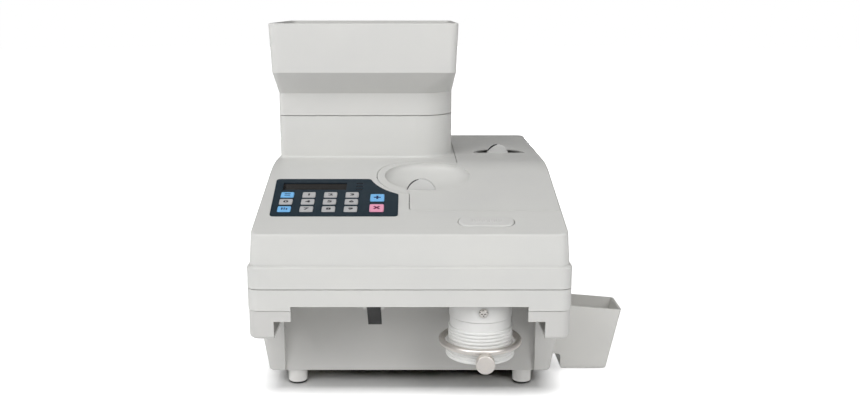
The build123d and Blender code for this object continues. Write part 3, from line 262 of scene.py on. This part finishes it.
# ------------------------------------------------------------------ mesh helpers
def piece(name, bm, material, body):
    mesh = bpy.data.meshes.new(name)
    bm.to_mesh(mesh)
    bm.free()
    for p in mesh.polygons:
        p.use_smooth = True
    obj = bpy.data.objects.new(name, mesh)
    bpy.context.scene.collection.objects.link(obj)
    mesh.materials.append(material)
    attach(obj, body)
    return obj


NORMAL = -Vector(JOINTS["key_0_press"]["axis"]).normalized()
ACROSS = Vector((1.0, 0.0, 0.0))
UP_SLOPE = NORMAL.cross(ACROSS)


def top_place(node):
    """Matrix at the middle of a node's highest face along the slope's normal: X across, Y up the slope."""
    points = [v.co for v in NODES[node].data.vertices]
    top = max(p.dot(NORMAL) for p in points)
    face = [p for p in points if top - p.dot(NORMAL) < 2e-5]
    low = Vector([min(p.dot(a) for p in face) for a in (ACROSS, UP_SLOPE)] + [0])
    high = Vector([max(p.dot(a) for p in face) for a in (ACROSS, UP_SLOPE)] + [0])
    mid = (low + high) / 2
    origin = ACROSS * mid.x + UP_SLOPE * mid.y + NORMAL * top
    place = Matrix((ACROSS, UP_SLOPE, NORMAL)).transposed().to_4x4()
    place.translation = origin
    return place


# ------------------------------------------------------------------ printed legends on the keys
PRINT_T = 0.04 * MM


def polygon_prism(bm, points, place, thick):
    """Flat closed prism over a polygon given in metres in the place's own plane."""
    low = [bm.verts.new(place @ Vector((x, y, -thick * 0.5))) for x, y in points]
    high = [bm.verts.new(place @ Vector((x, y, thick * 0.5))) for x, y in points]
    n = len(points)
    bm.faces.new(list(reversed(low)))
    bm.faces.new(high)
    for i in range(n):
        bm.faces.new((low[i], low[(i + 1) % n], high[(i + 1) % n], high[i]))


def rect(x, y, w, h):
    return [(x - w / 2, y - h / 2), (x + w / 2, y - h / 2), (x + w / 2, y + h / 2), (x - w / 2, y + h / 2)]


def turned(points, degrees):
    c, s = math.cos(math.radians(degrees)), math.sin(math.radians(degrees))
    return [(x * c - y * s, x * s + y * c) for x, y in points]


def cross_shape(reach, half):
    """Outline of a plus sign."""
    arm = ((-half, -reach), (half, -reach), (half, -half))
    return [corner for quarter in range(4) for corner in turned(arm, 90 * quarter)]


def digit_mesh(text, height):
    """Mesh of a character in the built-in font, centred, in metres."""
    curve = bpy.data.curves.new("digit_" + text, "FONT")
    curve.body = text
    curve.size = 1.0
    curve.offset = 0.04
    curve.resolution_u = 4
    curve.extrude = 0.01
    holder = bpy.data.objects.new("digit_holder", curve)
    bpy.context.scene.collection.objects.link(holder)
    bpy.context.view_layer.update()
    mesh = bpy.data.meshes.new_from_object(holder.evaluated_get(bpy.context.evaluated_depsgraph_get()))
    bpy.data.objects.remove(holder)
    bpy.data.curves.remove(curve)
    xs = [v.co.x for v in mesh.vertices]
    ys = [v.co.y for v in mesh.vertices]
    k = height / (max(ys) - min(ys))
    mid_x, mid_y = (min(xs) + max(xs)) / 2, (min(ys) + max(ys)) / 2
    for v in mesh.vertices:
        v.co = Vector(((v.co.x - mid_x) * k * 1.7, (v.co.y - mid_y) * k, v.co.z * PRINT_T / 0.02))
    return mesh


def legend(key, material):
    place = top_place(key)
    bm = bmesh.new()
    if key[-1].isdigit():
        mesh = digit_mesh(key[-1], 4.6 * MM)
        mesh.transform(place)
        bm.from_mesh(mesh)
        bpy.data.meshes.remove(mesh)
        bmesh.ops.remove_doubles(bm, verts=bm.verts[:], dist=1e-7)
    else:
        for outline in SYMBOLS[key]:
            polygon_prism(bm, [(x * MM, y * MM) for x, y in outline], place, PRINT_T)
    obj = piece(key + "_legend", bm, material, key)
    for p in obj.data.polygons:
        p.use_smooth = False


SYMBOLS = {
    "key_mode": [rect(0, 1.7, 6.0, 1.4), rect(0, -1.7, 6.0, 1.4)],
    "key_batch": [rect(-2.2, 0, 1.5, 4.4), rect(0.2, 0.9, 1.5, 2.6), rect(0.2, -1.7, 1.5, 1.0),
                  rect(2.6, -0.6, 1.5, 3.2)],
    "key_add": [cross_shape(3.6, 1.05)],
    "key_clear": [turned(cross_shape(4.0, 1.0), 45)],
}
DIGIT_KEYS = [f"key_{i}" for i in range(10)]
for key in DIGIT_KEYS:
    legend(key, M["dark_print_and_crescent"])
for key in ("key_mode", "key_batch", "key_add"):
    legend(key, M["print_navy"])
legend("key_clear", M["print_wine"])


# ------------------------------------------------------------------ grip ridges on the release tab
RIDGE_COUNT, RIDGE_PITCH = 13, 2.4 * MM
RIDGE_LENGTH, RIDGE_WIDTH, RIDGE_HEIGHT, RIDGE_SINK = 7.6 * MM, 1.2 * MM, 0.45 * MM, 0.1 * MM


def ridge(bm, place, x, y, length, width, height, sides=10):
    """Low half-round ridge along the place's Y, closed, with tapered ends."""
    rings = []
    for t, k in ((-0.47, 0.55), (-0.4, 1.0), (0.4, 1.0), (0.47, 0.55)):
        half = width / 2 * (0.5 + 0.5 * k)
        ring = []
        for i in range(sides + 1):
            a = math.pi * i / sides
            corner = Vector((x - math.cos(a) * half, y + t * length, math.sin(a) * height * k - RIDGE_SINK))
            ring.append(bm.verts.new(place @ corner))
        rings.append(ring)
    for a, b in zip(rings, rings[1:]):
        for i in range(sides):
            bm.faces.new((a[i], a[i + 1], b[i + 1], b[i]))
        bm.faces.new((a[sides], a[0], b[0], b[sides]))
    bm.faces.new(rings[0][::-1])
    bm.faces.new(rings[-1])


tab_place = top_place("release_tab")
bm = bmesh.new()
for i in range(RIDGE_COUNT):
    ridge(bm, tab_place, (i - RIDGE_COUNT // 2) * RIDGE_PITCH, 0.0, RIDGE_LENGTH, RIDGE_WIDTH, RIDGE_HEIGHT)
bmesh.ops.recalc_face_normals(bm, faces=bm.faces[:])
piece("tab_ridges", bm, M["tab_grey"], "tab")


# ------------------------------------------------------------------ dark crescents on the dials
MARK_PROUD, MARK_WRAP, MARK_STEPS = 0.06 * MM, 0.9 * MM, 28


def dial_crescent(dial, body, start, stop, width):
    """Dark crescent round the front rim of a dial, between two angles in degrees."""
    low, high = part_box(dial)
    x, z, r = (low.x + high.x) / 2, (low.z + high.z) / 2, (high.x - low.x) / 2
    bm = bmesh.new()
    loops = []
    for i in range(MARK_STEPS + 1):
        t = i / MARK_STEPS
        a = math.radians(start + (stop - start) * t)
        outer = r + MARK_PROUD
        inner = r - 0.15 * MM - width * math.sin(math.pi * t) ** 0.6
        front, back = low.y - 0.05 * MM, low.y + MARK_WRAP
        section = ((outer, front), (inner, front), (inner, back), (outer, back))
        loops.append([bm.verts.new((x + q * math.cos(a), y, z + q * math.sin(a))) for q, y in section])
    for a, b in zip(loops, loops[1:]):
        for k in range(4):
            bm.faces.new((a[k], a[(k + 1) % 4], b[(k + 1) % 4], b[k]))
    bm.faces.new(loops[0])
    bm.faces.new(loops[-1])
    bmesh.ops.recalc_face_normals(bm, faces=bm.faces[:])
    piece(dial + "_crescent", bm, M["dark_print_and_crescent"], body)


# Dark crescents round the upper-left of each dial's front rim.
dial_crescent("diameter_dial", "diameter_wheel", 100, 168, 0.9 * MM)
dial_crescent("thickness_dial", "thickness_wheel", 92, 158, 1.5 * MM)


# ------------------------------------------------------------------ studio
def area_light(name, pos, aim, size, watts, reflected):
    data = bpy.data.lights.new(name, "AREA")
    data.shape = "RECTANGLE"
    data.size, data.size_y = size
    data.energy = watts
    obj = bpy.data.objects.new(name, data)
    bpy.context.scene.collection.objects.link(obj)
    obj.location = pos
    obj.rotation_euler = (Vector(aim) - Vector(pos)).to_track_quat("-Z", "Y").to_euler()
    obj.visible_camera = False
    obj.visible_glossy = reflected


def stage_object(name, bm, material):
    mesh = bpy.data.meshes.new(name)
    bm.to_mesh(mesh)
    bm.free()
    obj = bpy.data.objects.new(name, mesh)
    bpy.context.scene.collection.objects.link(obj)
    mesh.materials.append(material)
    return obj


def only_seen(obj):
    """Seen directly, but lights nothing and shades nothing."""
    obj.visible_diffuse = False
    obj.visible_glossy = False
    obj.visible_transmission = False
    obj.visible_shadow = False


def floor_material():
    """White paper. It glows, except close to the feet, where the soft shadow falls."""
    s = Shader("studio_floor", (0.9, 0.9, 0.9), 0.6)
    s.vary_colour(0.4, 0.01)
    s.vary_rough(0.05, 0.05)
    feet_low, feet_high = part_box("rubber_feet")
    mid, half = (feet_low + feet_high) / 2, (feet_high - feet_low) / 2
    offset = s.vector_math("SUBTRACT", s.coord, (mid.x, mid.y, 0.0))
    edge = (half.x + FOOT_MARGIN, half.y + FOOT_MARGIN, 0.0)
    outside = s.vector_math("SUBTRACT", s.vector_math("ABSOLUTE", offset), edge)
    away = s.vector_math("LENGTH", s.vector_math("MAXIMUM", outside, (0.0, 0.0, 0.0)))
    near = s.remap(away, -0.12, FLOOR_GLOW[0] + 0.25, 0.0, 0.04)
    far = s.remap(away, 0.0, FLOOR_GLOW[1] - FLOOR_GLOW[0], 0.2, 1.2)
    total = s.nodes.new("ShaderNodeMath")
    s.links.new(near, total.inputs[0])
    s.links.new(far, total.inputs[1])
    s.bsdf.inputs["Emission Color"].default_value = (1.0, 1.0, 1.0, 1.0)
    s.links.new(total.outputs[0], s.bsdf.inputs["Emission Strength"])
    return s.mat


def studio():
    """A floor and a white surround for the camera, and a plain floor that returns light to the part."""
    bm = bmesh.new()
    bmesh.ops.create_grid(bm, x_segments=2, y_segments=2, size=FLOOR_HALF)
    only_seen(stage_object("studio_floor", bm, floor_material()))

    bm = bmesh.new()
    bmesh.ops.create_grid(bm, x_segments=2, y_segments=2, size=PAPER_HALF)
    paper = Shader("studio_paper", (0.9, 0.9, 0.9), 0.6)
    paper.vary_colour(0.4, 0.01)
    lower = stage_object("studio_paper", bm, paper.mat)
    lower.location.z = -0.001
    lower.visible_camera = False

    bm = bmesh.new()
    bmesh.ops.create_uvsphere(bm, u_segments=48, v_segments=24, radius=SURROUND_R)
    white = Shader("studio_surround", (0.0, 0.0, 0.0), 1.0)
    white.bsdf.inputs["Emission Color"].default_value = (1.0, 1.0, 1.0, 1.0)
    white.bsdf.inputs["Emission Strength"].default_value = 1.0
    only_seen(stage_object("studio_surround", bm, white.mat))


studio()
for name, (pos, aim, size, watts) in LIGHTS.items():
    area_light(name, pos, aim, size, watts, name.startswith("front"))

world = bpy.data.worlds.new("studio")
world.use_nodes = True
world.node_tree.nodes["Background"].inputs["Color"].default_value = (1.0, 1.0, 1.0, 1.0)
world.node_tree.nodes["Background"].inputs["Strength"].default_value = WORLD_STRENGTH
bpy.context.scene.world = world
bpy.context.scene.view_settings.view_transform = "Standard"

cam_data = bpy.data.cameras.new("camera")
cam_data.sensor_width = SENSOR
cam_data.lens = LENS
cam_data.shift_x = SHIFT_X
camera = bpy.data.objects.new("camera", cam_data)
bpy.context.scene.collection.objects.link(camera)
camera.location = CAMERA_POS
camera.rotation_euler = (math.radians(90.0 - CAMERA_PITCH), 0.0, 0.0)
bpy.context.scene.camera = camera
